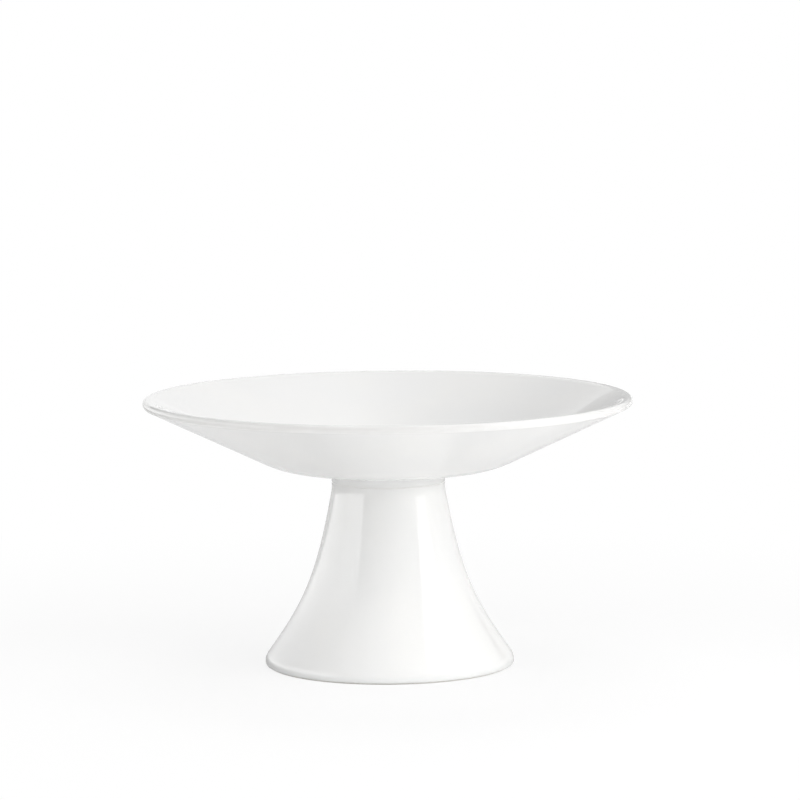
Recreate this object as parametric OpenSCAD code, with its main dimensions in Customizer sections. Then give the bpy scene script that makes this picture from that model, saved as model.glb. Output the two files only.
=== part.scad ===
// Footed compote bowl in glazed porcelain: a shallow conical bowl luted onto a hollow trumpet foot.
// Z is the axis of turning, and the origin is on the table, at the centre of the resting circle.
// Three pieces are stacked: the pedestal foot, the bed of luting slip and the bowl with its foot ring.

/* [Bowl] */
// Diameter of the bowl across its lip
rim_d = 270; // [250:1:290]
// Rise of the conical flank above level, in degrees
flank_rise = 25.6; // [23:0.2:28]
// Thickness of the conical flank
flank_wall = 5.2; // [4.8:0.1:6]
// Radius of the rounding on the outside of the lip
lip_r = 2.3; // [2:0.1:2.4]
// Diameter at which the lines of the underside and of the flank meet
knee_d = 123; // [116:1:130]
// Radius of the belly, which turns the underside into the flank
belly_r = 50; // [40:1:60]
// Rise of the underside above level, in degrees
under_rise = 4; // [3:0.5:6]
// Thickness of the floor over the hollow of the foot
floor_t = 6.2; // [5.2:0.1:7.5]
// Radius of the turn from the well's floor into the flank, on the inside
well_r = 46; // [36:1:56]

/* [Foot ring of the bowl] */
// Depth of the turned ring under the bowl
ring_h = 5.5; // [5.2:0.1:8]
// Radius of the cove between the ring and the underside
cove_r = 4.5; // [3:0.1:4.6]
// Radius of the turn inside the ring, under the floor
ring_fillet_r = 2; // [1.4:0.1:2.6]

/* [Pedestal foot] */
// Height of the pedestal foot
pedestal_h = 101.8; // [92:0.2:112]
// Diameter of the neck, shared with the bowl's foot ring
neck_d = 62.6; // [58:0.2:68]
// Largest diameter of the foot, just above the table
foot_d = 137.7; // [128:0.3:146]
// Thickness of the wall at the neck
neck_wall = 5.2; // [4.2:0.1:6.4]
// Thickness of the wall where the flare ends in the rolled foot
foot_wall = 7.5; // [7:0.1:8.5]
// Length of the straight land under the pedestal's top
neck_land = 1.8; // [1.6:0.1:3]
// Radius of the turn from the land into the flare
neck_turn_r = 19; // [15:1:25]
// Slant of the flare at the neck, in degrees from upright
neck_slant = 10.3; // [8:0.1:12]
// Slant of the flare at the rolled foot, in degrees from upright
foot_slant = 35.4; // [32:0.1:38]
// Radius of the roll on the outside of the foot
roll_r = 7.5; // [6.5:0.1:8.5]
// Radius of the outer edge beside the resting ring
foot_edge_r = 2.3; // [1.8:0.1:2.8]
// Radius of the inner edge beside the resting ring
foot_inner_r = 1.2; // [0.8:0.1:1.6]

/* [Luted joint] */
// Thickness of the bed of slip
slip_t = 0.5; // [0.4:0.1:1]
// Radius of the sponged edges on both sides of the bed
joint_edge_r = 0.6; // [0.4:0.1:0.8]
// Radius of the bead of slip pressed out inside the hollow
bead_r = 1.1; // [0.8:0.1:1.2]

/* [Hidden] */

// Steps of a full turn, and steps along each arc and along the flare
turn_steps = 96;
wide_arc_steps = 12;
small_arc_steps = 6;
flare_steps = 26;

// Reach of the flare's two handles, as shares of the flare's height
neck_handle_share = 0.55;
foot_handle_share = 0.365;

// Colours of the glaze and of the bare slip
glaze_colour = [0.95, 0.95, 0.945];
slip_colour = [0.9, 0.885, 0.85];

// Radii shared by the pieces
rim_r = rim_d / 2;
neck_r = neck_d / 2;
foot_r = foot_d / 2;
bore_r = neck_r - neck_wall;
joint_r = neck_r - joint_edge_r;

// Heights at which the pieces seat
slip_z = pedestal_h;
ring_z = slip_z + slip_t;

// Points of an arc round a centre, from one angle to another; first is 1 where it goes on from a point
function arc(centre, r, from, to, steps, first = 0) =
    [for (i = [first : steps]) centre + r * heading(from + (to - from) * i / steps)];

// Unit vector at an angle from the radial direction, turning upwards
function heading(angle) = [cos(angle), sin(angle)];

// Centre of the arc that turns one line into another, given where they meet and their rises
function turn_centre(corner, r, low_rise, high_rise) =
    corner
    - r * tan((high_rise - low_rise) / 2) * heading(low_rise)
    + r * heading(low_rise + 90);

// Outline of the bowl, with its heights counted from the bottom of its foot ring

// Places on the outside
under_start = [neck_r, ring_h];
knee = under_start + (knee_d / 2 - neck_r) * [1, tan(under_rise)];
lip_centre_r = rim_r - lip_r;
lip_touch_r = lip_centre_r + lip_r * sin(flank_rise);
lip_touch_z = knee[1] + (lip_touch_r - knee[0]) * tan(flank_rise);
lip_centre = [lip_centre_r, lip_touch_z + lip_r * cos(flank_rise)];
lip_top = lip_centre[1] + lip_r;

// The soft inner side of the lip meets both the lip's top and the inside of the flank
lip_soft_r = (flank_wall - lip_r * (1 + cos(flank_rise))) / (1 - cos(flank_rise));
lip_soft_centre = [lip_centre_r, lip_top - lip_soft_r];

// The inside of the flank runs down to the level floor of the well
floor_z = ring_h + floor_t;
inner_touch = lip_soft_centre + lip_soft_r * heading(flank_rise + 90);
well_corner = [inner_touch[0] - (inner_touch[1] - floor_z) / tan(flank_rise), floor_z];

// The cove fills the corner between the upright ring and the rising underside
cove_reach = cove_r * tan((90 - under_rise) / 2);
cove_centre = [neck_r + cove_r, ring_h - cove_reach];

function bowl_outline() = concat(
    [[0, ring_h]],
    arc([bore_r - ring_fillet_r, ring_h - ring_fillet_r], ring_fillet_r, 90, 0, small_arc_steps),
    [[bore_r, 0]],
    arc([joint_r, joint_edge_r], joint_edge_r, -90, 0, small_arc_steps),
    arc(cove_centre, cove_r, 180, 90 + under_rise, wide_arc_steps),
    arc(turn_centre(knee, belly_r, under_rise, flank_rise), belly_r,
        under_rise - 90, flank_rise - 90, wide_arc_steps),
    arc(lip_centre, lip_r, flank_rise - 90, 90, wide_arc_steps),
    arc(lip_soft_centre, lip_soft_r, 90, flank_rise + 90, small_arc_steps, 1),
    arc(turn_centre(well_corner, well_r, 0, flank_rise), well_r,
        flank_rise - 90, -90, wide_arc_steps),
    [[0, floor_z]]
);

// Outline of the pedestal foot, with its heights counted from the table

// The land and the turn under the pedestal's top
turn_z = pedestal_h - neck_land;
turn_centre_out = [neck_r + neck_turn_r, turn_z];

// Centre of the roll, and the ends of the flare
roll_centre = [foot_r - roll_r, foot_edge_r];
flare_top = turn_centre_out + neck_turn_r * heading(180 + neck_slant);
flare_foot = roll_centre + roll_r * heading(foot_slant);
flare_h = flare_top[1] - flare_foot[1];

// Handles of the flare
neck_handle = flare_top - neck_handle_share * flare_h * heading(90 + neck_slant);
foot_handle = flare_foot + foot_handle_share * flare_h * heading(90 + foot_slant);

// Point and direction of the flare at a share of its length, from the neck to the foot
function flare_point(s) =
    pow(1 - s, 3) * flare_top
    + 3 * pow(1 - s, 2) * s * neck_handle
    + 3 * (1 - s) * pow(s, 2) * foot_handle
    + pow(s, 3) * flare_foot;
function flare_way(s) =
    pow(1 - s, 2) * (neck_handle - flare_top)
    + 2 * (1 - s) * s * (foot_handle - neck_handle)
    + pow(s, 2) * (flare_foot - foot_handle);

// Direction from the outer face into the wall, square to the flare
function flare_inward(s) =
    let (way = flare_way(s)) [way[1], -way[0]] / norm(way);

// Wall of the flare, which swells from the neck to the foot
function flare_wall(s) = neck_wall + (foot_wall - neck_wall) * pow(s, 2);

// Inner end of the flare, and the resting ring that its slant leads down to
flare_inner_foot = flare_foot + foot_wall * flare_inward(1);
rest_inner_drop = flare_inner_foot[1] - foot_inner_r * (1 - sin(foot_slant));
rest_inner_r = flare_inner_foot[0] + rest_inner_drop * tan(foot_slant) + foot_inner_r * cos(foot_slant);

function pedestal_outline() = concat(
    arc([foot_r - foot_edge_r, foot_edge_r], foot_edge_r, -90, 0, small_arc_steps),
    arc(roll_centre, roll_r, 0, foot_slant, small_arc_steps, 1),
    [for (i = [flare_steps - 1 : -1 : 1]) flare_point(i / flare_steps)],
    arc(turn_centre_out, neck_turn_r, 180 + neck_slant, 180, small_arc_steps),
    arc([joint_r, pedestal_h - joint_edge_r], joint_edge_r, 0, 90, small_arc_steps),
    [[bore_r, pedestal_h]],
    arc(turn_centre_out, neck_turn_r + neck_wall, 180, 180 + neck_slant, small_arc_steps),
    [for (i = [1 : flare_steps]) flare_point(i / flare_steps)
        + flare_wall(i / flare_steps) * flare_inward(i / flare_steps)],
    arc([rest_inner_r, foot_inner_r], foot_inner_r, 180 + foot_slant, 270, small_arc_steps)
);

// Outline of the slip: the bed between the two rings, and the bead inside the hollow
function slip_outline() = concat(
    [[bore_r, 0], [joint_r, 0], [joint_r, slip_t], [bore_r, slip_t]],
    arc([bore_r, slip_t / 2], bead_r, 90, 270, wide_arc_steps)
);

// Shallow conical bowl, with its rounded lip, level well and turned foot ring
module bowl() {
    color(glaze_colour)
        translate([0, 0, ring_z])
            rotate_extrude($fn = turn_steps)
                polygon(bowl_outline());
}

// Bed of luting slip that joins the bowl to the pedestal
module luting_slip() {
    color(slip_colour)
        translate([0, 0, slip_z])
            rotate_extrude($fn = turn_steps)
                polygon(slip_outline());
}

// Hollow trumpet foot, open below and at its neck
module pedestal_foot() {
    color(glaze_colour)
        rotate_extrude($fn = turn_steps)
            polygon(pedestal_outline());
}

bowl();
luting_slip();
pedestal_foot();
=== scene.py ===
"""Looks of the footed compote bowl: white glazed porcelain, in soft studio light on a pale table."""

from math import atan2, cos, pi, radians, sin, tan

import bmesh
import bpy
from mathutils import Matrix, Vector


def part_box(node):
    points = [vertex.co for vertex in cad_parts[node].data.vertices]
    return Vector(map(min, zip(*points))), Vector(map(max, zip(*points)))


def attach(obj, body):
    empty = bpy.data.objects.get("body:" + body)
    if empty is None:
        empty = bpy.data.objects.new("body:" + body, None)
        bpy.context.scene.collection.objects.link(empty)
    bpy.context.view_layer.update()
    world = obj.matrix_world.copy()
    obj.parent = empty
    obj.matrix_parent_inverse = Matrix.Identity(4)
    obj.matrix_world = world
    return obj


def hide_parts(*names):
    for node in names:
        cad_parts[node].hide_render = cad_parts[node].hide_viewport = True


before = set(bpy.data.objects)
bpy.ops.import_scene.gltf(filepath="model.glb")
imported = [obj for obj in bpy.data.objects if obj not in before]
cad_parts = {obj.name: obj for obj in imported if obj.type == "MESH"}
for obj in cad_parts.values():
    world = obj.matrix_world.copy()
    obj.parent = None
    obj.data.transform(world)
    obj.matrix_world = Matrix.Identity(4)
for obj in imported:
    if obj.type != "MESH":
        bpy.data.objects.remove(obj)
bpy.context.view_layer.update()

MM = 0.001


# Sizes of the bowl and its foot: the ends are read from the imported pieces, the rest repeat their source

_, pedestal_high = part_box("pedestal_foot")
bowl_low, bowl_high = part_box("bowl")

foot_r = pedestal_high.x
pedestal_h = pedestal_high.z
rim_r = bowl_high.x
ring_z = bowl_low.z
lip_z = bowl_high.z

neck_r = 31.3 * MM
bore_r = 26.1 * MM

# Glaze fills the joint, so its edges are finer here than the 0.6 mm of the solids
joint_edge_r = 0.2 * MM
joint_r = neck_r - joint_edge_r
slip_sink = 0.07 * MM
slip_r = neck_r - slip_sink

ring_h = 5.5 * MM
ring_fillet_r = 2 * MM
cove_r = 4.5 * MM
under_rise = radians(4)
knee_r = 61.5 * MM
belly_r = 50 * MM
flank_rise = radians(25.6)
flank_wall = 5.2 * MM
lip_r = 2.3 * MM
floor_t = 6.2 * MM
well_r = 46 * MM
under_z = ring_z + ring_h
well_z = under_z + floor_t

neck_land = 1.8 * MM
neck_turn_r = 19 * MM
neck_wall = 5.2 * MM
neck_slant = radians(10.3)
foot_slant = radians(35.4)
foot_wall = 7.5 * MM
roll_r = 7.5 * MM
foot_edge_r = 2.3 * MM
foot_inner_r = 1.2 * MM
neck_handle_share = 0.55
foot_handle_share = 0.365

slip_t = ring_z - pedestal_h
bead_r = 1.1 * MM

# The glaze stops short of the resting ring, with a rounded nose as thick as the coat
glaze_t = 0.25 * MM
outer_glaze_line = radians(-38)
inner_glaze_line = pi + foot_slant + radians(14)

# Marks of making: turning rings inside the hollow, the kiln's slight warp and the sponged bead of slip.
# The waves run round the axis, and each is a count, a share of the height and a start. The bead's waves
# stay back by its shortfall, also a share.
ring_pitch = 6 * MM
ring_depth = 0.12 * MM
warp_height = 0.12 * MM
warp_waves = [(2, 0.6, 0.9), (3, 0.4, -0.5)]
bead_wander = 0.16 * MM
bead_waves = [(5, 0.5, 0.0), (11, 0.3, 1.0)]
bead_shortfall = 0.4

# How finely the pieces are turned
TURN_STEPS = 288
ARC_STEP = radians(4)
LEAST_ARC_STEPS = 5
FLARE_STEPS = 80
WIPED_STEPS = 6
SHARP_ANGLE = radians(35)


# Outlines, as (radius, height) points

def heading(angle):
    """Unit vector at an angle from the radial direction, turning upwards."""
    return Vector((cos(angle), sin(angle)))


def arc(centre, r, start, end, first=0):
    """Points of an arc; first is 1 where the arc goes on from a point that is already there."""
    steps = max(LEAST_ARC_STEPS, round(abs(end - start) / ARC_STEP))
    turns = [start + (end - start) * i / steps for i in range(first, steps + 1)]
    return [Vector(centre) + r * heading(turn) for turn in turns]


def turn_centre(corner, r, low_rise, high_rise):
    """Centre of the arc that turns one rising line into a steeper one."""
    back = r * tan((high_rise - low_rise) / 2)
    return corner - back * heading(low_rise) + r * heading(low_rise + pi / 2)


def bowl_outline():
    """From the middle of the floor's underside, out along the flank, over the lip and back to the well."""
    knee = Vector((knee_r, under_z + (knee_r - neck_r) * tan(under_rise)))
    lip_centre = Vector((rim_r - lip_r, lip_z - lip_r))

    soft_r = (flank_wall - lip_r * (1 + cos(flank_rise))) / (1 - cos(flank_rise))
    soft_centre = Vector((lip_centre.x, lip_z - soft_r))
    inner_touch = soft_centre + soft_r * heading(flank_rise + pi / 2)
    well_corner = Vector((inner_touch.x - (inner_touch.y - well_z) / tan(flank_rise), well_z))

    cove_reach = cove_r * tan((pi / 2 - under_rise) / 2)
    cove_centre = (neck_r + cove_r, under_z - cove_reach)
    fillet_centre = (bore_r - ring_fillet_r, under_z - ring_fillet_r)
    return [
        Vector((0, under_z)),
        *arc(fillet_centre, ring_fillet_r, pi / 2, 0),
        Vector((bore_r, ring_z)),
        *arc((joint_r, ring_z + joint_edge_r), joint_edge_r, -pi / 2, 0),
        *arc(cove_centre, cove_r, pi, pi / 2 + under_rise),
        *arc(turn_centre(knee, belly_r, under_rise, flank_rise), belly_r,
             under_rise - pi / 2, flank_rise - pi / 2),
        *arc(lip_centre, lip_r, flank_rise - pi / 2, pi / 2),
        *arc(soft_centre, soft_r, pi / 2, flank_rise + pi / 2, first=1),
        *arc(turn_centre(well_corner, well_r, 0, flank_rise), well_r, flank_rise - pi / 2, -pi / 2),
        Vector((0, well_z)),
    ]


def flare(s, top, foot):
    """Point on the outside of the flare and the wall's way in, at a share of its length from the neck."""
    height = top.y - foot.y
    neck_handle = top - neck_handle_share * height * heading(pi / 2 + neck_slant)
    foot_handle = foot + foot_handle_share * height * heading(pi / 2 + foot_slant)
    q = 1 - s
    place = q**3 * top + 3 * q * q * s * neck_handle + 3 * q * s * s * foot_handle + s**3 * foot
    way = q * q * (neck_handle - top) + 2 * q * s * (foot_handle - neck_handle) + s * s * (foot - foot_handle)
    return place, Vector((way.y, -way.x)).normalized()


def turning_ring(place, s):
    """Depth of the turner's rings inside the hollow, fading out at both ends of the flare."""
    fade = sin(pi * s) ** 0.5
    return ring_depth * fade * (1 + cos(2 * pi * place.y / ring_pitch)) / 2


def pedestal_outline():
    """The glazed outside from the foot to the seat, the glazed hollow, and the bare resting ring."""
    turn_out = Vector((neck_r + neck_turn_r, pedestal_h - neck_land))
    roll_centre = Vector((foot_r - roll_r, foot_edge_r))
    edge_centre = Vector((foot_r - foot_edge_r, foot_edge_r))
    top = turn_out + neck_turn_r * heading(pi + neck_slant)
    foot = roll_centre + roll_r * heading(foot_slant)

    outside = []
    inside = []
    for i in range(1, FLARE_STEPS):
        s = i / FLARE_STEPS
        place, inward = flare(s, top, foot)
        wall = neck_wall + (foot_wall - neck_wall) * s * s
        outside.insert(0, place)
        inside.append(place + (wall - turning_ring(place, s)) * inward)
    inner_foot = foot + foot_wall * flare(1, top, foot)[1]
    drop = inner_foot.y - foot_inner_r * (1 - sin(foot_slant))
    inner_centre_r = inner_foot.x + drop * tan(foot_slant) + foot_inner_r * cos(foot_slant)
    inner_centre = Vector((inner_centre_r, foot_inner_r))

    glazed = [
        *arc(edge_centre, foot_edge_r, outer_glaze_line, 0),
        *arc(roll_centre, roll_r, 0, foot_slant, first=1),
        *outside,
        *arc(turn_out, neck_turn_r, pi + neck_slant, pi),
        *arc((joint_r, pedestal_h - joint_edge_r), joint_edge_r, 0, pi / 2),
        Vector((bore_r, pedestal_h)),
        *arc(turn_out, neck_turn_r + neck_wall, pi, pi + neck_slant),
        *inside,
        inner_foot,
        *arc(inner_centre, foot_inner_r, pi + foot_slant, inner_glaze_line),
    ]
    bare = [
        *glaze_nose(inner_centre, foot_inner_r, inner_glaze_line, 1),
        *wiped_edge(inner_centre, foot_inner_r, 1.5 * pi, inner_glaze_line)[::-1],
        *wiped_edge(edge_centre, foot_edge_r, -pi / 2, outer_glaze_line),
        *glaze_nose(edge_centre, foot_edge_r, outer_glaze_line, -1)[::-1],
    ]
    return glazed, bare


def glaze_nose(centre, r, angle, turn):
    """Rounded end of the coat where it stops on a rounded edge, from the glaze down to the body."""
    half = glaze_t / 2
    middle = centre + (r - half) * heading(angle)
    return arc(middle, half, angle, angle + turn * pi)[1:-1]


def wiped_edge(centre, r, rest, line):
    """Bare part of a rounded edge, from full size where it rests to the body under the coat at its line."""
    shares = [i / WIPED_STEPS for i in range(WIPED_STEPS + 1)]
    return [centre + (r - glaze_t * share) * heading(rest + (line - rest) * share) for share in shares]


def slip_outline():
    """The bed between the two rings, and the bead pressed out inside the hollow."""
    return [
        Vector((slip_r, pedestal_h)),
        Vector((slip_r, ring_z)),
        Vector((bore_r, ring_z)),
        *arc((bore_r, pedestal_h + slip_t / 2), bead_r, pi / 2, 1.5 * pi),
        Vector((bore_r, pedestal_h)),
    ]


# Turning an outline into a piece

def waves(turn, rows):
    """Height of the given waves, at a turn round the axis."""
    return sum(share * sin(count * turn + start) for count, share, start in rows)


def kiln_warp(place):
    """Lets the wide parts sag by a tenth of a millimetre, as in the kiln, and leaves the joint true."""
    out = max(0, Vector((place.x, place.y)).length - neck_r) / (rim_r - neck_r)
    lift = warp_height * out**2 * waves(atan2(place.y, place.x), warp_waves)
    return place + Vector((0, 0, min(lift, 0)))


def bead_drift(place):
    """Makes the sponged bead of slip a little uneven round the hollow."""
    around = Vector((place.x, place.y))
    depth = bore_r - around.length
    if depth <= 0:
        return place
    height = waves(atan2(place.y, place.x), bead_waves) - bead_shortfall
    inward = -around.normalized() * (bead_wander * height * depth / bead_r)
    return place + Vector((inward.x, inward.y, 0))


def added(name, data):
    """A new object in the scene."""
    thing = bpy.data.objects.new(name, data)
    bpy.context.scene.collection.objects.link(thing)
    return thing


def turned(name, stretches, closed, shape=None):
    """Turns an outline round the axis. Each stretch of it takes its own material, in order."""
    points = [point for stretch in stretches for point in stretch]
    slots = [slot for slot, stretch in enumerate(stretches) for _ in stretch]
    mesh = bpy.data.meshes.new(name)
    bm = bmesh.new()
    rings = []
    for point in points:
        turns = [2 * pi * i / TURN_STEPS for i in range(TURN_STEPS)] if point.x > 0 else [0]
        places = [Vector((point.x * cos(turn), point.x * sin(turn), point.y)) for turn in turns]
        rings.append([bm.verts.new(shape(place) if shape else place) for place in places])
    pairs = list(zip(rings, rings[1:], slots))
    if closed:
        pairs.append((rings[-1], rings[0], slots[-1]))
    for low, high, slot in pairs:
        for i in range(TURN_STEPS):
            j = (i + 1) % TURN_STEPS
            corners = [low[i % len(low)], low[j % len(low)], high[j % len(high)], high[i % len(high)]]
            face = bm.faces.new(dict.fromkeys(corners))
            face.smooth = True
            face.material_index = slot
    bmesh.ops.recalc_face_normals(bm, faces=bm.faces)
    for edge in bm.edges:
        edge.smooth = edge.calc_face_angle(0) < SHARP_ANGLE
    bm.to_mesh(mesh)
    bm.free()
    piece = added(name, mesh)
    shading = piece.modifiers.new("even_shading", "WEIGHTED_NORMAL")
    shading.keep_sharp = True
    return piece


# Building shaders

def put(tree, kind, inputs=None, **settings):
    """Adds a shader node, sets its fields, and fills its inputs with values or with other nodes' outputs."""
    node = tree.nodes.new("ShaderNode" + kind)
    for field, value in settings.items():
        setattr(node, field, value)
    for name, source in (inputs or {}).items():
        if isinstance(source, bpy.types.NodeSocket):
            tree.links.new(source, node.inputs[name])
        else:
            node.inputs[name].default_value = source
    return node


def sums(tree, operation, *terms):
    """One arithmetic step on numbers or on other nodes' outputs."""
    return put(tree, "Math", dict(enumerate(terms)), operation=operation).outputs[0]


def ramp(tree, value, low, high, to_low=0.0, to_high=1.0):
    """Carries a value smoothly from one range to another, and holds it at the ends."""
    ends = {"Value": value, "From Min": low, "From Max": high, "To Min": to_low, "To Max": to_high}
    return put(tree, "MapRange", ends, interpolation_type="SMOOTHSTEP").outputs["Result"]


def blend(tree, share, first, second):
    """Mixes two colours by a mask."""
    # The node's sockets for colours are numbers 6 and 7, because others have the same names
    return put(tree, "Mix", {0: share, 6: first, 7: second}, data_type="RGBA").outputs[2]


def patchy(tree, mask, tone, span, least):
    """Weakens a mask in patches: its share is least where the tone is 0, and more by the span at tone 1."""
    return sums(tree, "MULTIPLY", mask, sums(tree, "MULTIPLY_ADD", tone, span, least))


def per_metre(tree, size):
    """How often a size fits into a metre; the size is a number or another node's output."""
    return sums(tree, "DIVIDE", 1.0, size) if isinstance(size, bpy.types.NodeSocket) else 1 / size


def noise(tree, place, size, detail=2.0, roughness=0.5):
    """Cloudy noise whose patches are about as wide as the given size."""
    settings = {"Vector": place, "Scale": per_metre(tree, size), "Detail": detail, "Roughness": roughness}
    return put(tree, "TexNoise", settings).outputs["Fac"]


def effect(name, numbers, outputs):
    """A shader group that takes a place and some numbers, and the sockets at its two ends."""
    group = bpy.data.node_groups.new(name, "ShaderNodeTree")
    group.interface.new_socket("Place", in_out="INPUT", socket_type="NodeSocketVector")
    for label, number in numbers.items():
        socket = group.interface.new_socket(label, in_out="INPUT", socket_type="NodeSocketFloat")
        socket.default_value = number
    for label in outputs:
        group.interface.new_socket(label, in_out="OUTPUT", socket_type="NodeSocketFloat")
    return group, group.nodes.new("NodeGroupInput").outputs, group.nodes.new("NodeGroupOutput").inputs


def use(tree, group, **inputs):
    """Places an effect in a material; the inputs are written with _ for a space."""
    named = {label.replace("_", " ").capitalize(): source for label, source in inputs.items()}
    return put(tree, "Group", named, node_tree=group).outputs


# Effects that the finishes share

# Where cloudy noise is cut: a mask is nothing up to the first value, and full from the second
CLOUD_CUT = (0.35, 0.65)
GLOSS_CUT = (0.3, 0.7)
HAIR_CUT = (0.66, 0.74)
WORN_CUT = (0.5, 0.7)
TONE_CUT = (0.35, 0.65)
SWIPE_CUT = (0.4, 0.65)

# Hairline scuffs run three ways, and are twelve times as long as they are wide
HAIR_WAYS = (radians(20), radians(75), radians(130))
HAIR_STRETCH = (12, 1, 1)

# The tone of the bare body is made of fine grain and broader patches
FINE_SHARE = 0.4
BROAD_SHARE = 0.6
BROAD_SIZE = 8 * MM


def glaze_surface_effect():
    """Height of a fired glaze: slow waves where the coat ran, and the fine peel of its skin."""
    group, given, made = effect(
        "glaze_surface",
        {"Wave size": 17 * MM, "Wave height": 0.02 * MM, "Peel size": 1.6 * MM, "Peel height": 0.0012 * MM},
        ["Height"])
    wave = noise(group, given["Place"], given["Wave size"], detail=1.0)
    peel = noise(group, given["Place"], given["Peel size"])
    ran = sums(group, "MULTIPLY", wave, given["Wave height"])
    skin = sums(group, "MULTIPLY", peel, given["Peel height"])
    group.links.new(sums(group, "ADD", ran, skin), made["Height"])
    return group


def ring_band_effect():
    """Mask of a band round the axis: full on a circle of a given radius and height, gone at its reach."""
    group, given, made = effect(
        "ring_band",
        {"Circle radius": 30 * MM, "Circle height": 0.0, "Reach": 3 * MM, "Unevenness": 0.5 * MM,
         "Patch size": 9 * MM},
        ["Mask"])
    parts = put(group, "SeparateXYZ", {"Vector": given["Place"]}).outputs
    level = put(group, "CombineXYZ", {"X": parts["X"], "Y": parts["Y"]}).outputs[0]
    radius = put(group, "VectorMath", {0: level}, operation="LENGTH").outputs["Value"]
    across = sums(group, "SUBTRACT", radius, given["Circle radius"])
    along = sums(group, "SUBTRACT", parts["Z"], given["Circle height"])
    gap = put(group, "CombineXYZ", {"X": across, "Y": along}).outputs[0]
    away = put(group, "VectorMath", {0: gap}, operation="LENGTH").outputs["Value"]
    cloud = noise(group, given["Place"], given["Patch size"], detail=3.0)
    stray = sums(group, "MULTIPLY", sums(group, "SUBTRACT", cloud, 0.5), given["Unevenness"])
    # The cloud strays by half of its range to each side, so twice that is the full unevenness
    bent = sums(group, "MULTIPLY_ADD", stray, 2.0, away)
    group.links.new(ramp(group, bent, 0.0, given["Reach"], 1.0, 0.0), made["Mask"])
    return group


def kiln_speck_effect():
    """Mask of the few fine dark specks that fly ash and iron leave in a white glaze."""
    group, given, made = effect(
        "kiln_specks", {"Spacing": 11 * MM, "Speck size": 0.3 * MM, "Share": 0.3}, ["Mask"])
    scale = per_metre(group, given["Spacing"])
    cells = put(group, "TexVoronoi", {"Vector": given["Place"], "Scale": scale, "Randomness": 1.0}).outputs
    away = sums(group, "MULTIPLY", cells["Distance"], given["Spacing"])
    dot = ramp(group, away, 0.0, given["Speck size"], 1.0, 0.0)
    pick = put(group, "SeparateColor", {"Color": cells["Color"]}).outputs["Red"]
    chosen = sums(group, "LESS_THAN", pick, given["Share"])
    group.links.new(sums(group, "MULTIPLY", dot, chosen), made["Mask"])
    return group


def use_scuff_effect():
    """Mask of faint hairline scuffs, which cutlery and stacking leave in a glaze, in patches."""
    group, given, made = effect("use_scuffs", {"Hair size": 3 * MM, "Patch size": 30 * MM}, ["Mask"])
    lines = 0.0
    for turn in HAIR_WAYS:
        spun = put(group, "VectorRotate", {"Vector": given["Place"], "Angle": turn}, rotation_type="Z_AXIS")
        drawn = put(group, "VectorMath", {0: spun.outputs[0], 1: HAIR_STRETCH}, operation="MULTIPLY")
        hairs = ramp(group, noise(group, drawn.outputs[0], given["Hair size"], detail=3.0), *HAIR_CUT)
        lines = sums(group, "MAXIMUM", lines, hairs)
    worn = ramp(group, noise(group, given["Place"], given["Patch size"], detail=1.0), *WORN_CUT)
    group.links.new(sums(group, "MULTIPLY", lines, worn), made["Mask"])
    return group


def body_grain_effect():
    """Height and tone of bare fired porcelain: a fine even tooth, and a tone that changes in patches."""
    group, given, made = effect(
        "body_grain", {"Grain size": 0.35 * MM, "Tooth": 0.012 * MM}, ["Height", "Tone"])
    fine = noise(group, given["Place"], given["Grain size"], detail=4.0, roughness=0.65)
    broad = noise(group, given["Place"], BROAD_SIZE, detail=3.0)
    group.links.new(sums(group, "MULTIPLY", fine, given["Tooth"]), made["Height"])
    tone = sums(group, "MULTIPLY_ADD", fine, FINE_SHARE, sums(group, "MULTIPLY", broad, BROAD_SHARE))
    group.links.new(ramp(group, tone, *TONE_CUT), made["Tone"])
    return group


GLAZE_SURFACE = glaze_surface_effect()
RING_BAND = ring_band_effect()
KILN_SPECKS = kiln_speck_effect()
USE_SCUFFS = use_scuff_effect()
BODY_GRAIN = body_grain_effect()


# Finishes

GLAZE_WHITE = (0.843, 0.843, 0.837, 1)
# Darker colour of glaze that runs thin over edges; on the bowl's lip its band is partly painted shade on the
# lip's outer face
GLAZE_THIN_AND_SHADE = (0.735, 0.730, 0.718, 1)
GLAZE_POOLED = (0.790, 0.800, 0.795, 1)
GLAZE_CLOUD = (0.853, 0.851, 0.840, 1)
SPECK_BROWN = (0.42, 0.36, 0.29, 1)
BARE_BODY = (0.740, 0.722, 0.682, 1)
BARE_RUBBED = (0.600, 0.585, 0.555, 1)
SLIP_WHITE = (0.825, 0.821, 0.806, 1)
SLIP_STAIN = (0.760, 0.754, 0.735, 1)

# The glaze's clouds and glossier patches, its roughness, and what its bands, specks and scuffs add
CLOUD_SIZE = 45 * MM
GLOSS_SIZE = 22 * MM
GLAZE_IOR = 1.5
GLOSSY_GLAZE = 0.03
DULLER_GLAZE = 0.05
THIN_ROUGHER = 0.05
WORN_ROUGHER = 0.16
POOL_STRENGTH = 0.7
SPECK_STRENGTH = 0.7
SPECK_RISE = 0.01 * MM
SCUFFS_ELSEWHERE = 0.1
BAND_UNEVENNESS = 0.25
BAND_PATCH = 2

# The band of the resting ring that a table rubs
rub_r = foot_r - 3.2 * MM
rub_reach = 2.4 * MM
rub_unevenness = 1.2 * MM
rub_patch = 7 * MM
RUB_SPAN = 0.6
LEAST_RUB = 0.3
BARE_ROUGHNESS = 0.72
RUBBED_ROUGHNESS = 0.5

# The slip, with the sponge's swipes
SLIP_GRAIN = 0.6 * MM
SLIP_TOOTH = 0.02 * MM
SWIPE_SIZE = 5 * MM
SWIPE_RISE = 0.05 * MM
STAIN_SPAN = 0.5
LEAST_STAIN = 0.2
SLIP_ROUGHNESS = 0.38
STAINED_ROUGHNESS = 0.6


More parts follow.
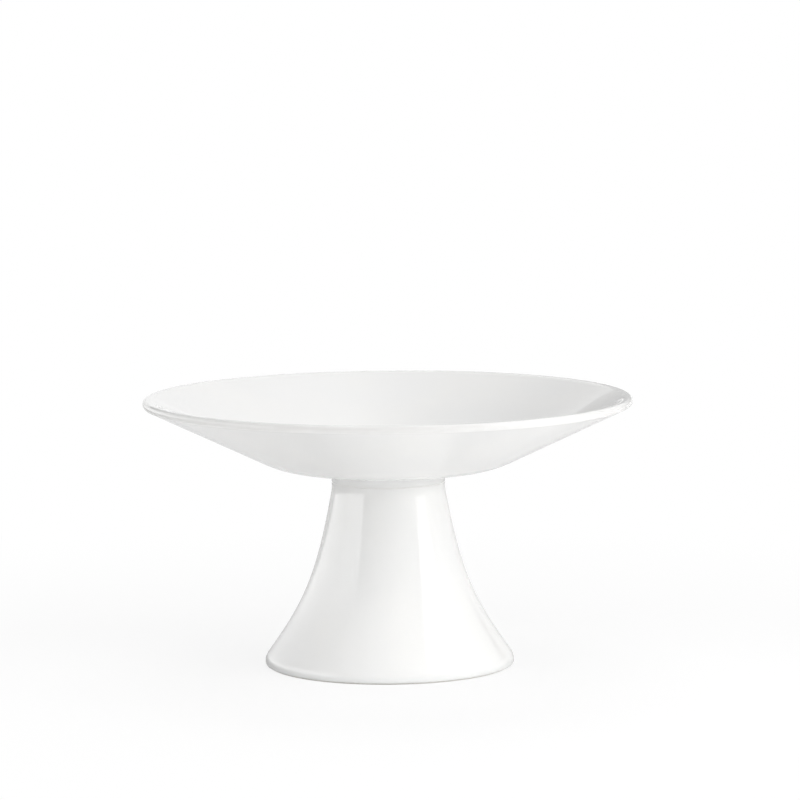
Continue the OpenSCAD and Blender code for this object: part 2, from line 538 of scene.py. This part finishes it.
def new_finish(name):
    """A fresh material, with its shader and the place on the object that its patterns follow."""
    material = bpy.data.materials.new(name)
    material.use_nodes = True
    tree = material.node_tree
    shader = tree.nodes["Principled BSDF"]
    place = put(tree, "TexCoord").outputs["Object"]
    return material, tree, shader.inputs, place


def dress(tree, shader, colour, roughness, height):
    """Gives a shader its colour, its roughness and a height in metres."""
    relief = put(tree, "Bump", {"Height": height, "Distance": 1.0, "Strength": 1.0})
    tree.links.new(colour, shader["Base Color"])
    tree.links.new(roughness, shader["Roughness"])
    tree.links.new(relief.outputs["Normal"], shader["Normal"])


def white_glaze(name, thin_and_shade_circles, pooled_circles, worn_circles):
    """White porcelain glaze: thin and darker over edges, where the band on the bowl's lip is partly painted
    shade, pooled in hollows and corners, and faintly scuffed in use.
    """
    material, tree, shader, place = new_finish(name)

    def mask(circles):
        """Largest of the bands round the given circles, each a radius, a height and a reach."""
        total = 0.0
        for radius, height, reach in circles:
            band = use(tree, RING_BAND, place=place, circle_radius=radius, circle_height=height,
                       reach=reach, unevenness=BAND_UNEVENNESS * reach, patch_size=BAND_PATCH * reach)
            total = sums(tree, "MAXIMUM", total, band["Mask"])
        return total

    thin_and_shade = mask(thin_and_shade_circles)
    pooled = sums(tree, "MULTIPLY", mask(pooled_circles), POOL_STRENGTH)
    cloud = ramp(tree, noise(tree, place, CLOUD_SIZE), *CLOUD_CUT)
    specks = use(tree, KILN_SPECKS, place=place)["Mask"]
    scuffs = use(tree, USE_SCUFFS, place=place)["Mask"]
    worn = patchy(tree, scuffs, mask(worn_circles), 1 - SCUFFS_ELSEWHERE, SCUFFS_ELSEWHERE)

    colour = blend(tree, cloud, GLAZE_WHITE, GLAZE_CLOUD)
    # Thin glaze darkens the colour; on the bowl's lip this band is painted shade on the lip's outer face as
    # well as real thinning
    colour = blend(tree, thin_and_shade, colour, GLAZE_THIN_AND_SHADE)
    colour = blend(tree, pooled, colour, GLAZE_POOLED)
    colour = blend(tree, sums(tree, "MULTIPLY", specks, SPECK_STRENGTH), colour, SPECK_BROWN)

    roughness = ramp(tree, noise(tree, place, GLOSS_SIZE), *GLOSS_CUT, GLOSSY_GLAZE, DULLER_GLAZE)
    roughness = sums(tree, "MULTIPLY_ADD", thin_and_shade, THIN_ROUGHER, roughness)
    roughness = sums(tree, "MULTIPLY_ADD", worn, WORN_ROUGHER, roughness)

    surface = use(tree, GLAZE_SURFACE, place=place)["Height"]
    surface = sums(tree, "MULTIPLY_ADD", specks, SPECK_RISE, surface)
    shader["IOR"].default_value = GLAZE_IOR
    dress(tree, shader, colour, roughness, surface)
    return material


def bare_ring():
    """Wiped resting ring: matt fired porcelain, rubbed grey where it slides on a table."""
    material, tree, shader, place = new_finish("bare_ring")
    grain = use(tree, BODY_GRAIN, place=place)
    rest = use(tree, RING_BAND, place=place, circle_radius=rub_r, circle_height=0.0, reach=rub_reach,
               unevenness=rub_unevenness, patch_size=rub_patch)["Mask"]
    rubbed = patchy(tree, rest, grain["Tone"], RUB_SPAN, LEAST_RUB)
    roughness = ramp(tree, rubbed, 0.0, 1.0, BARE_ROUGHNESS, RUBBED_ROUGHNESS)
    dress(tree, shader, blend(tree, rubbed, BARE_BODY, BARE_RUBBED), roughness, grain["Height"])
    return material


def sponged_slip():
    """Luting slip: the same porcelain, sponged smooth, with grey left in the sponge's swipes."""
    material, tree, shader, place = new_finish("sponged_slip")
    grain = use(tree, BODY_GRAIN, place=place, grain_size=SLIP_GRAIN, tooth=SLIP_TOOTH)
    swipes = ramp(tree, noise(tree, place, SWIPE_SIZE, detail=3.0), *SWIPE_CUT)
    stain = patchy(tree, swipes, grain["Tone"], STAIN_SPAN, LEAST_STAIN)
    roughness = ramp(tree, stain, 0.0, STAIN_SPAN + LEAST_STAIN, SLIP_ROUGHNESS, STAINED_ROUGHNESS)
    smear = sums(tree, "MULTIPLY_ADD", swipes, SWIPE_RISE, grain["Height"])
    dress(tree, shader, blend(tree, stain, SLIP_WHITE, SLIP_STAIN), roughness, smear)
    return material


# The three pieces

# Circles that the glaze's bands follow, each a radius, a height and a reach
# The lip's thin band sits on its outer face and spares its top: real thinning over the rim, and painted shade
# on that face
thin_and_shaded_lip = (rim_r - 0.3 * MM, lip_z - 1.9 * MM, 3.5 * MM)
pooled_cove = (neck_r + 2 * MM, under_z - 1.4 * MM, 4 * MM)
pooled_well = (0, well_z, 26 * MM)
worn_well = (0, well_z, 60 * MM)
thin_foot_edge = (foot_r - 1 * MM, 0.4 * MM, 1.6 * MM)
pooled_foot_edge = (foot_r - 0.4 * MM, 2.6 * MM, 2.2 * MM)
worn_foot = (foot_r, 4 * MM, 9 * MM)


def finish_piece(piece, node, slot, *materials):
    """Dresses a piece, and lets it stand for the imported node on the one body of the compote."""
    for material in materials:
        piece.data.materials.append(material)
    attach(piece, "root")
    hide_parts(node)


bowl_glaze = white_glaze("bowl_glaze", [thin_and_shaded_lip], [pooled_cove, pooled_well], [worn_well])
bowl = turned("glazed_bowl", [bowl_outline()], closed=False, shape=kiln_warp)
finish_piece(bowl, "bowl", "white_glaze", bowl_glaze)

slip = turned("sponged_slip", [slip_outline()], closed=True, shape=bead_drift)
finish_piece(slip, "luting_slip", "bare_slip", sponged_slip())

pedestal_glaze = white_glaze("pedestal_glaze", [thin_foot_edge], [pooled_foot_edge], [worn_foot])
pedestal = turned("glazed_pedestal", pedestal_outline(), closed=True)
finish_piece(pedestal, "pedestal_foot", "white_glaze", pedestal_glaze, bare_ring())


# Camera, where the photograph was taken from

CAMERA_AWAY = 2.418
CAMERA_UP = 0.428
CAMERA_PITCH = radians(6.63)
CAMERA_YAW = radians(0.16)
CAMERA_ROLL = radians(-0.44)
LENS_MM = 198.8
SENSOR_MM = 36
CLIP_END = 50


def far_camera():
    """A long lens from a little above the bowl's rim."""
    data = bpy.data.cameras.new("camera")
    data.sensor_width = SENSOR_MM
    data.lens = LENS_MM
    data.clip_end = CLIP_END
    camera = added("camera", data)
    turn = (Matrix.Rotation(-CAMERA_YAW, 4, "Z") @ Matrix.Rotation(pi / 2 - CAMERA_PITCH, 4, "X")
            @ Matrix.Rotation(CAMERA_ROLL, 4, "Z"))
    camera.matrix_world = Matrix.Translation((0, -CAMERA_AWAY, CAMERA_UP)) @ turn
    bpy.context.scene.camera = camera


far_camera()


# Light

MIDDLE = Vector((0, 0, 0.09))
LIGHT_AWAY = 1.6


def toward(azimuth, elevation):
    """A light's place from the bowl; azimuth 0 is the camera's side, and it turns towards the right."""
    a = radians(azimuth)
    e = radians(elevation)
    return MIDDLE + LIGHT_AWAY * Vector((sin(a) * cos(e), -cos(a) * cos(e), sin(e)))


def facing(place, aim, roll=0):
    """Where a rectangle stands when its front looks at a point."""
    turn = (place - aim).to_track_quat("Z", "Y").to_matrix().to_4x4()
    return Matrix.Translation(place) @ turn @ Matrix.Rotation(radians(roll), 4, "Z")


def lamp(name, place, width, height, power, roll=0):
    """A rectangular lamp that lights the bowl, but neither the camera nor reflections see it."""
    data = bpy.data.lights.new(name, "AREA")
    data.shape = "RECTANGLE"
    data.size = width
    data.size_y = height
    data.energy = power
    box = added(name, data)
    box.matrix_world = facing(place, MIDDLE, roll)
    box.visible_camera = False
    box.visible_glossy = False


def sheet(name, w, h, z=0.0):
    """A flat rectangle of the given half width and half height, and the empty nodes of its material."""
    mesh = bpy.data.meshes.new(name)
    mesh.from_pydata([(-w, -h, z), (w, -h, z), (w, h, z), (-w, h, z)], [], [(0, 1, 2, 3)])
    material = bpy.data.materials.new(name)
    material.use_nodes = True
    material.node_tree.nodes.clear()
    mesh.materials.append(material)
    return added(name, mesh), material.node_tree


def card(name, place, aim, width, height, shine, roll=0, top_share=1, right_share=1, right_fade=0.5):
    """A card that only reflections see: the bright ones are softboxes' faces, the dark ones are flags.

    The top share dims its upper half, and the change starts at the bottom edge. The right share holds at
    the right end, as the bowl sees it, and fades out over the given part of the width.
    """
    w = width / 2
    h = height / 2
    face, tree = sheet(name, w, h)
    face.matrix_world = facing(place, aim, roll)
    for rays in ("camera", "diffuse", "transmission", "volume_scatter", "shadow"):
        setattr(face, "visible_" + rays, False)
    strength = shine
    if (top_share, right_share) != (1, 1):
        spot = put(tree, "SeparateXYZ", {"Vector": put(tree, "TexCoord").outputs["Object"]}).outputs
        upward = ramp(tree, spot["Y"], -h, 0.0, shine, top_share * shine)
        sideways = ramp(tree, spot["X"], -w, (2 * right_fade - 1) * w, right_share, 1.0)
        strength = sums(tree, "MULTIPLY", upward, sideways)
    glow = put(tree, "Emission", {"Strength": strength})
    put(tree, "OutputMaterial", {"Surface": glow.outputs[0]})


def mirror_rays(tree, path):
    """1 for the rays of reflections and of glass, and 0 for others."""
    return sums(tree, "MAXIMUM", path["Is Glossy Ray"], path["Is Transmission Ray"])


# The table lies just under the resting ring, and its shares and reaches say how it turns plain white
TABLE_HALF = 1.5
TABLE_DROP = 0.05 * MM
TABLE_WHITE = 0.9
SHADOW_REACH = 0.55
CAMERA_SHARE = 0.84
REFLECTED_REACH = 0.3
REFLECTED_WHITE = 0.78


def pale_table():
    """A white table: matt and lit near the bowl, plain white farther away, and clear when seen from below.

    Inside the circle that the foot rests on it lets shadow rays through, so a lamp below lights the hollow.
    """
    table, tree = sheet("table", TABLE_HALF, TABLE_HALF, -TABLE_DROP)
    place = put(tree, "TexCoord").outputs["Object"]
    away = put(tree, "VectorMath", {0: place}, operation="LENGTH").outputs["Value"]
    path = put(tree, "LightPath").outputs
    mirrored = mirror_rays(tree, path)
    white_share = ramp(tree, away, foot_r, SHADOW_REACH, CAMERA_SHARE, 1.0)
    reflected_share = ramp(tree, away, neck_r, REFLECTED_REACH)
    share = sums(tree, "MAXIMUM", sums(tree, "MULTIPLY", white_share, path["Is Camera Ray"]),
                 sums(tree, "MULTIPLY", reflected_share, mirrored))
    lit = put(tree, "BsdfDiffuse", {"Color": (TABLE_WHITE, TABLE_WHITE, TABLE_WHITE, 1)})
    dimmed = sums(tree, "MULTIPLY_ADD", mirrored, REFLECTED_WHITE - 1, 1.0)
    white = put(tree, "Emission", {"Strength": dimmed})
    top = put(tree, "MixShader", {0: share, 1: lit.outputs[0], 2: white.outputs[0]})
    clear = put(tree, "BsdfTransparent")
    below = put(tree, "NewGeometry").outputs["Backfacing"]
    under_foot = sums(tree, "LESS_THAN", away, foot_r - foot_edge_r)
    through = sums(tree, "MAXIMUM", below, sums(tree, "MULTIPLY", under_foot, path["Is Shadow Ray"]))
    both = put(tree, "MixShader", {0: through, 1: top.outputs[0], 2: clear.outputs[0]})
    put(tree, "OutputMaterial", {"Surface": both.outputs[0]})


def studio_world():
    """White surroundings, which the camera, reflections and glass see, but which give the bowl no light."""
    world = bpy.data.worlds.new("studio")
    bpy.context.scene.world = world
    world.use_nodes = True
    tree = world.node_tree
    tree.nodes.clear()
    path = put(tree, "LightPath").outputs
    seen = sums(tree, "MAXIMUM", path["Is Camera Ray"], mirror_rays(tree, path))
    white = put(tree, "Background", {"Color": (1, 1, 1, 1), "Strength": seen})
    put(tree, "OutputWorld", {"Surface": white.outputs[0]})


pale_table()
studio_world()

# Lamps, each with its place, its width and height in metres, and its power in watts
lamp("key_lamp", toward(73, 35), 0.72, 1.5, power=7.0, roll=-16)
lamp("right_front_lamp", toward(30, 32), 0.9, 0.9, power=5.4)
lamp("low_right_lamp", toward(50, 18), 0.7, 0.4, power=2.8)
lamp("left_lamp", toward(-60, 32), 0.9, 0.9, power=5.6)
lamp("top_front_lamp", toward(0, 62), 1.0, 1.0, power=6.0)
lamp("top_back_lamp", toward(180, 62), 1.0, 1.0, power=11.2)
lamp("front_bounce", Vector((0, -0.5, 0.01)), 0.7, 0.4, power=0.9)
lamp("left_bounce", Vector((-0.45, -0.2, 0.01)), 0.4, 0.6, power=0.6)
lamp("right_bounce", Vector((0.45, -0.2, 0.01)), 0.4, 0.6, power=1.3)
lamp("hollow_lamp", Vector((0, 0, -0.03)), 0.08, 0.08, power=0.15)

# Cards, each with its place, the point it faces, its width and height in metres, and its brightness
card("key_card", toward(68, 35), MIDDLE, 0.8, 1.6, shine=2.6, roll=-8)
card("left_panel_card", Vector((-1.133, 0.586, 1.3)), Vector((0.057, 0.426, 1.3)), 3.46, 2.4, shine=3.3,
     top_share=1 / 6, right_share=0.42, right_fade=0.65)
card("front_flag_card", Vector((0.12, -1.0, 1.55)), Vector((0.12, 0, 1.55)), 2.62, 2.8, shine=0.25)
card("back_left_card", Vector((-0.75, 1.2, 1.45)), Vector((-0.1, 0, 0.75)), 2.0, 1.9, shine=0.32,
     right_share=2.8, right_fade=0.3)
card("back_right_card", Vector((0.95, 1.0, 1.35)), Vector((0, 0, 0.65)), 1.6, 1.9, shine=0.95)
card("back_low_card", Vector((0.33, 0.6, 0.25)), Vector((0.33, 0, 0.25)), 0.6, 0.14, shine=0.5)

bpy.context.scene.view_settings.view_transform = "Standard"
